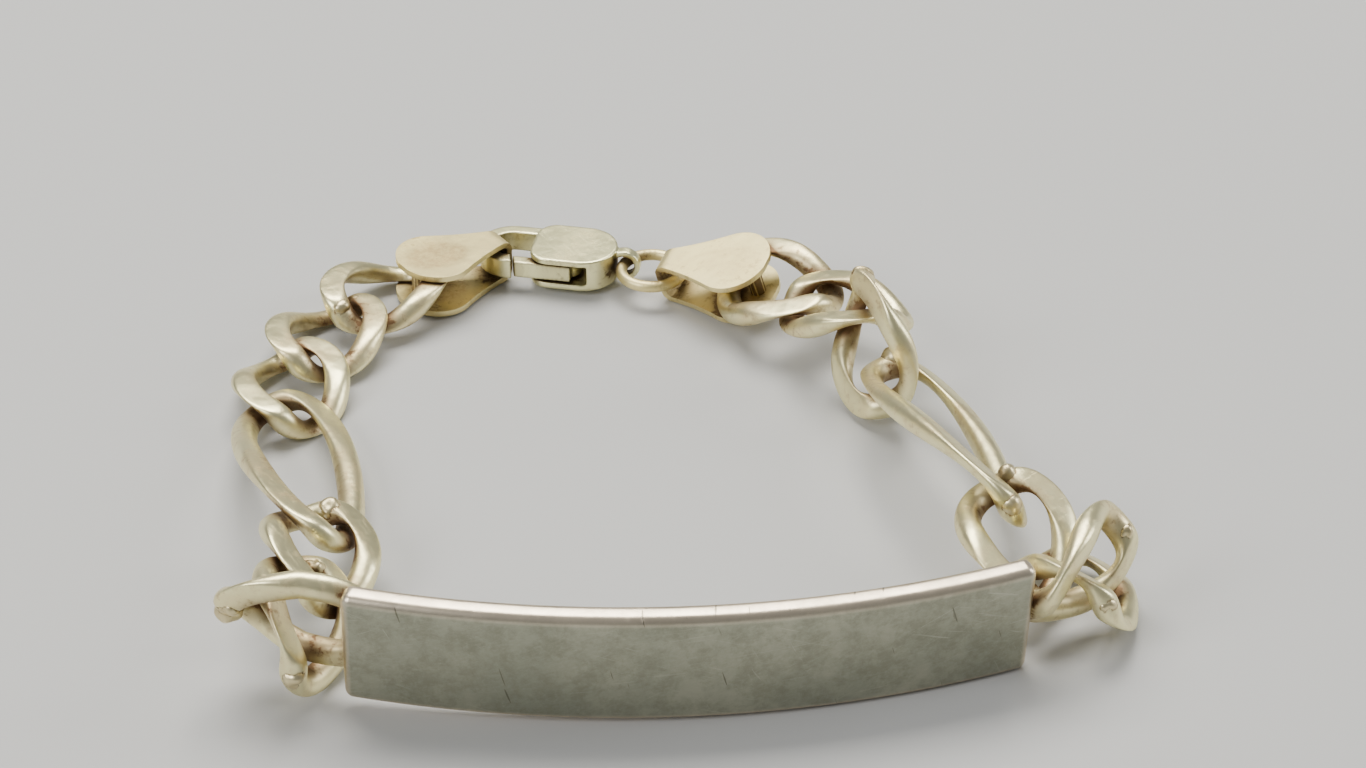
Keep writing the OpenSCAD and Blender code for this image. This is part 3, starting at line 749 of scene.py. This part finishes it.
# %% Folded caps
CAP_LONG, CAP_WIDE, NECK, SHEET, RIVET = 9.3, 6.6, 1.9, 0.45, 1.2
CAP_GAP = GROUND + 0.2
ROUND_OUT, FOLD_ROUND, SHOULDER = 1.3, 0.5, 0.2
ROUND_DEEP = 0.85 * CAP_WIDE / 2
FOLD_END = ROUND_OUT + CAP_LONG - ROUND_DEEP
FOLD_START = FOLD_END - FOLD_ROUND - SHEET
SPREAD = math.radians(25)
PATCH_X, PATCH_LONG, PATCH_WIDE = 1.6, 2.5, 1.9
PATCH_RIM, PATCH_FADE = 1.15, 0.3
# The strip starts some steps into the round end, where it has some width
FIRST_STEP, ROUND_STEPS, NECK_STEPS, FOLD_STEPS, ACROSS = 3, 32, 14, 6, 14
PIN_SIDES = 40


def cap_half_width(x):
    """Half the sheet's width at x: a rounded end, then a cubic that draws in to the neck."""
    half = CAP_WIDE / 2
    x0, y0 = ROUND_OUT + ROUND_DEEP * math.sin(SPREAD), half * math.cos(SPREAD)
    y1 = NECK / 2 + SHOULDER
    if x <= x0:
        return half * math.sqrt(max(0.0, 1 - ((x - ROUND_OUT) / ROUND_DEEP) ** 2))
    t = min(1.0, (x - x0) / (FOLD_START - x0))
    u = 1 - t
    run = FOLD_START - x0
    return (y0 * u * u * (1 + 2 * t) - run * half / ROUND_DEEP * math.tan(SPREAD) * t * u * u
            + y1 * t * t * (3 - 2 * t) + run * 0.3 * t * t * u)


def cap_strip():
    """The strip from the upper disc's round end to the lower one's: x, z and half width."""
    z = (CAP_GAP + SHEET) / 2
    bend = FOLD_ROUND + SHEET / 2
    top = []
    for k in range(FIRST_STEP, ROUND_STEPS + 1):
        g = (math.pi / 2 + SPREAD) * k / ROUND_STEPS
        x = ROUND_OUT - ROUND_DEEP * math.cos(g)
        top.append((x, z, cap_half_width(x)))
    x0 = ROUND_OUT + ROUND_DEEP * math.sin(SPREAD)
    for k in range(1, NECK_STEPS + 1):
        x = x0 + (FOLD_START - x0) * k / NECK_STEPS
        top.append((x, z, cap_half_width(x)))
    for k in range(1, FOLD_STEPS + 1):
        g = math.pi / 2 * k / FOLD_STEPS
        width = NECK / 2 + SHOULDER * (1 - k / FOLD_STEPS)
        top.append((FOLD_START + bend * math.sin(g), z - bend * (1 - math.cos(g)), width))
    low = [(x, -z, w) for x, z, w in reversed(top)]
    return top + [(top[-1][0], 0.0, top[-1][2])] + low


def make_cap():
    """The strip as one thin grid, finer towards its edges."""
    bm = bmesh.new()
    rows = [[bm.verts.new((x, w * math.sin(math.pi * (k / ACROSS - 0.5)), z))
             for k in range(ACROSS + 1)] for x, z, w in cap_strip()]
    for one, two in zip(rows, rows[1:]):
        for k in range(ACROSS):
            bm.faces.new((one[k], two[k], two[k + 1], one[k + 1]))
    return bm


def cap_lie(node):
    """A packed cap's rivet and axes: x towards the fold, z across its sheets."""
    points = np.unique(np.array([v.co for v in nodes[node].data.vertices]).round(7), axis=0)
    middle = points.mean(0)
    x, y, z = np.linalg.svd(points - middle, full_matrices=False)[2]
    along, across = (points - middle) @ x, (points - middle) @ y
    half = (along.max() + along.min()) / 2
    if np.abs(across[along > half]).max() > np.abs(across[along < half]).max():
        x, along = -x, -along
    y = np.cross(z, x)
    rivet = middle + (along.max() - FOLD_END * MM) * x
    return Vector(rivet), Matrix([x, y, z]).transposed()


def add_cap(node, name, worn):
    """The strip, thickened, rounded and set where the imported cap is, with its worn oval patch."""
    rivet, turn = cap_lie(node)
    strip = bpy.data.objects.new(name + "_strip", mesh_from(make_cap(), name + "_strip"))
    bpy.context.scene.collection.objects.link(strip)
    sheet = strip.modifiers.new("sheet", "SOLIDIFY")
    sheet.thickness, sheet.offset = SHEET, 0.0
    edge = strip.modifiers.new("edge", "BEVEL")
    edge.width, edge.segments, edge.limit_method = 0.10, 3, "ANGLE"
    ready = strip.evaluated_get(bpy.context.evaluated_depsgraph_get())
    mesh = bpy.data.meshes.new_from_object(ready)
    bpy.data.objects.remove(strip)
    bm = bmesh.new()
    bm.from_mesh(mesh)
    bmesh.ops.create_cone(bm, cap_ends=True, segments=PIN_SIDES, radius1=RIVET / 2,
                          radius2=RIVET / 2, depth=CAP_GAP + SHEET)
    patch = []
    for v in bm.verts:
        oval = math.hypot((v.co.x - PATCH_X) / PATCH_LONG, v.co.y / PATCH_WIDE)
        patch.append(worn * min(1.0, max(0.0, (PATCH_RIM - oval) / PATCH_FADE)))
        v.co = turn @ (v.co * MM) + rivet
    bm.to_mesh(mesh)
    bm.free()
    for face in mesh.polygons:
        face.use_smooth = len(face.vertices) <= 4
    keep_measure(mesh, "worn_patch", patch)
    mesh.name = name
    print(name, "rivet at mm", [round(c / MM, 2) for c in rivet], len(mesh.polygons), "faces")
    add_piece(name, mesh, cap_silver, slot="cap_silver", stands_for=[node])


add_cap("left_cap", "left_folded_cap", 1.0)
add_cap("right_cap", "right_folded_cap", 0.3)


# %% Tarnish and painted shade from nearness
# How far other metal is felt, how much a sideways look counts, how marks fade
REACH, SIDEWAYS, FALLOFF = 1.9 * MM, 0.35, 1.2


class Shell:
    """One connected part of a piece: its points, their facing, and a tree of its faces."""

    def __init__(self, name, mesh, mine, co, facing):
        self.name, self.mine, self.co, self.facing = name, mine, co[mine], facing[mine]
        index = {int(v): n for n, v in enumerate(mine)}
        faces = [[index[v] for v in f.vertices] for f in mesh.polygons if f.vertices[0] in index]
        self.tree = BVHTree.FromPolygons([tuple(p) for p in self.co], faces)
        self.low, self.high = self.co.min(0), self.co.max(0)


def islands(mesh):
    """Number of the connected island that each point belongs to."""
    label = np.arange(len(mesh.vertices))
    edges = np.empty(len(mesh.edges) * 2, int)
    mesh.edges.foreach_get("vertices", edges)
    edges = edges.reshape(-1, 2)
    while True:
        low = np.minimum(label[edges[:, 0]], label[edges[:, 1]])
        new = label.copy()
        np.minimum.at(new, edges[:, 0], low)
        np.minimum.at(new, edges[:, 1], low)
        new = new[new]
        if (new == label).all():
            return np.unique(label, return_inverse=True)[1]
        label = new


def shells_of(mesh, name):
    """The connected parts of one piece."""
    co, facing = np.empty(len(mesh.vertices) * 3), np.empty(len(mesh.vertices) * 3)
    mesh.vertices.foreach_get("co", co)
    mesh.vertex_normals.foreach_get("vector", facing)
    co, facing = co.reshape(-1, 3), facing.reshape(-1, 3)
    label = islands(mesh)
    return [Shell(name, mesh, np.nonzero(label == i)[0], co, facing)
            for i in range(label.max() + 1)]


def near_metal():
    """Marks each point that looks at other metal close by: there the materials put tarnish and painted
    shade.
    """
    shells = [shell for made, *_ in pieces for shell in shells_of(made.data, made.name)]
    marks = {made.name: np.zeros(len(made.data.vertices)) for made, *_ in pieces}
    for a in shells:
        for b in shells:
            if b is a or (b.low > a.high + REACH).any() or (b.high < a.low - REACH).any():
                continue
            close = ((a.co > b.low - REACH) & (a.co < b.high + REACH)).all(1)
            for n in np.nonzero(close)[0]:
                here = Vector(a.co[n])
                spot, _, _, far = b.tree.find_nearest(here, REACH)
                if spot is not None:
                    look = (spot - here).normalized().dot(Vector(a.facing[n]))
                    mark = (1 - far / REACH) * min(1.0, max(0.0, SIDEWAYS + look))
                    marks[a.name][a.mine[n]] = max(marks[a.name][a.mine[n]], mark)
    for made, *_ in pieces:
        keep_measure(made.data, "near_metal", marks[made.name] ** FALLOFF)


# %% [markdown]
# ## Cast clasp
# The clasp's body and lever were cast and tumbled, so no edge on them is sharp.
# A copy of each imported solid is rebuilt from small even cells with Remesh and
# then smoothed a few times, which rounds every edge alike.

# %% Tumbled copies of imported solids
def tumbled(node, cell_mm, rounds):
    """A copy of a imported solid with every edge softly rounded."""
    mesh = nodes[node].data.copy()
    bm = bmesh.new()
    bm.from_mesh(mesh)
    bmesh.ops.remove_doubles(bm, verts=bm.verts, dist=1e-7)
    bm.to_mesh(mesh)
    bm.free()
    made = bpy.data.objects.new(node + "_copy", mesh)
    bpy.context.scene.collection.objects.link(made)
    cells = made.modifiers.new("cells", "REMESH")
    cells.mode = "VOXEL"
    cells.voxel_size = cell_mm * MM
    soft = made.modifiers.new("soft", "SMOOTH")
    soft.factor = 0.5
    soft.iterations = rounds
    ready = made.evaluated_get(bpy.context.evaluated_depsgraph_get())
    done = bpy.data.meshes.new_from_object(ready)
    bpy.data.objects.remove(made)
    for face in done.polygons:
        face.use_smooth = True
    return done


for node, body, rounds in (("clasp_body", "bracelet", 16), ("clasp_lever", "lever", 20)):
    mesh = tumbled(node, 0.07, rounds)
    mesh.name = node + "_worn"
    print(node, len(mesh.polygons), "faces")
    add_piece(node + "_worn", mesh, clasp_silver, body, "clasp_silver", [node])


# %% Jump ring
RING_MEAN, RING_WIRE, RING_WANDER = 4.7, 0.9, 0.02
RING_STEPS, RING_SIDES = 120, 28


def make_ring():
    """A wire ring that was bent by hand: its section wanders a little round the turn."""
    middle, turn = lie_of("jump_ring")
    bm = bmesh.new()
    rings = []
    for i in range(RING_STEPS):
        g = math.tau * i / RING_STEPS
        thick = RING_WIRE / 2 * (1 - RING_WANDER * (1 + math.sin(3 * g + 1)) / 2)
        out = Vector((math.cos(g), math.sin(g), 0))
        rings.append([bm.verts.new((turn @ (out * (RING_MEAN / 2 + thick * math.cos(a))
                                            + Vector((0, 0, thick * math.sin(a))))) * MM + middle)
                      for a in (math.tau * k / RING_SIDES for k in range(RING_SIDES))])
    for one, two in zip(rings, rings[1:] + rings[:1]):
        for k in range(RING_SIDES):
            after = (k + 1) % RING_SIDES
            bm.faces.new((one[k], two[k], two[after], one[after]))
    bmesh.ops.recalc_face_normals(bm, faces=bm.faces)
    return mesh_from(bm, "wire_ring")


ring_mesh = make_ring()
print("ring", len(ring_mesh.polygons), "faces")
add_piece("wire_ring", ring_mesh, cap_silver, stands_for=["jump_ring"])


# %% Bind the pieces to the frame
near_metal()
for made, body, slot, stands_for in pieces:
    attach(made, body)
    if stands_for:
        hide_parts(*stands_for)

for node, material in (("id_plate", plate_silver), ("left_cap", cap_silver),
                       ("right_cap", cap_silver), ("jump_ring", chain_silver),
                       ("clasp_body", clasp_silver), ("clasp_lever", clasp_silver),
                       *((n, chain_silver) for n in LINK_NODES)):
    for place in nodes[node].material_slots:
        place.material = material


# %% [markdown]
# ## Studio
# Silver shows what is around it, so the lights are large soft panels: one
# overhead and a little behind, which whitens the upward faces, a weaker one
# from the front left, and a low one from the right that catches the edges
# there. Dim grey surroundings leave the sides dark.

# %% Studio
def add_panel(name, place, size, watts, colour=(1, 1, 1)):
    """A soft rectangle of light that looks at the bracelet's middle."""
    data = bpy.data.lights.new(name, "AREA")
    data.shape, data.size, data.size_y = "RECTANGLE", size[0], size[1]
    data.energy, data.color = watts, colour
    made = bpy.data.objects.new(name, data)
    bpy.context.scene.collection.objects.link(made)
    made.location = place
    made.rotation_euler = (-Vector(place)).to_track_quat("-Z", "Y").to_euler()


add_panel("overhead", (-0.05, 0.25, 0.50), (0.45, 0.30), 4.7, (1.0, 0.975, 0.915))
add_panel("front_left", (-0.45, -0.30, 0.40), (0.30, 0.30), 2.4)
add_panel("right_rim", (0.50, 0.10, 0.25), (0.20, 0.30), 1.2)

world = bpy.data.worlds.new("studio")
world.use_nodes = True
world.node_tree.nodes["Background"].inputs["Color"].default_value = (0.42, 0.43, 0.45, 1)
world.node_tree.nodes["Background"].inputs["Strength"].default_value = 0.55
bpy.context.scene.world = world

floor_finish = Finish("pale_floor")
floor_finish.set(Base_Color=(0.52, 0.52, 0.51, 1), Roughness=0.55)
floor_mesh = bpy.data.meshes.new("floor")
floor_mesh.from_pydata([(-2, -2, 0), (2, -2, 0), (2, 2, 0), (-2, 2, 0)], [], [(0, 1, 2, 3)])
floor_mesh.materials.append(floor_finish.material)
floor = bpy.data.objects.new("floor", floor_mesh)
bpy.context.scene.collection.objects.link(floor)
